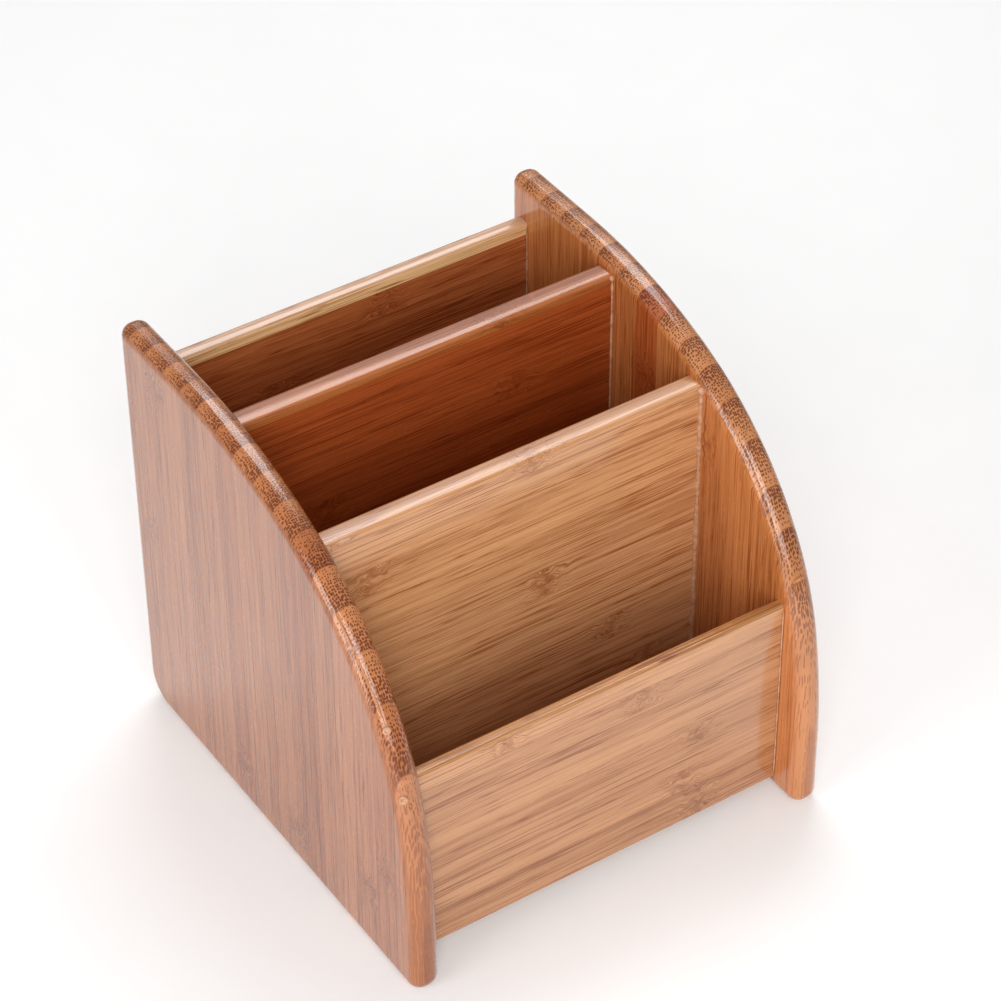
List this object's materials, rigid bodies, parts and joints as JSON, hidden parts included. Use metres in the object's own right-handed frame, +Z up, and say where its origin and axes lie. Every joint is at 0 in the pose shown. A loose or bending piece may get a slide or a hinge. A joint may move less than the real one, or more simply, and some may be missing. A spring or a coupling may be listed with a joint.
{
  "type": "desk pen holder",
  "caption": "Box-shaped bamboo pen holder with stepped open compartments between two rounded side panels.",
  "frame": {"origin": "middle of the footprint, on the surface the holder stands on", "axes": "+Z up; the low front panel faces -Y; +X to the right seen from the front"},
  "size_m": [0.1574, 0.168, 0.1572],
  "materials": {
    "side_bamboo": "clear satin lacquer over solid bamboo strips",
    "light_bamboo": "clear satin lacquer over light bamboo strips",
    "dark_bamboo": "clear satin lacquer over carbonised bamboo strips",
    "floor_bamboo": "clear satin lacquer over bamboo strips"
  },
  "bodies": {
    "root": {"left_side_panel": "side_bamboo", "right_side_panel": "side_bamboo", "front_panel": "light_bamboo", "front_divider": "light_bamboo", "rear_divider": "dark_bamboo", "back_panel": "dark_bamboo", "floor_panel": "floor_bamboo"}
  },
  "joints": []
}
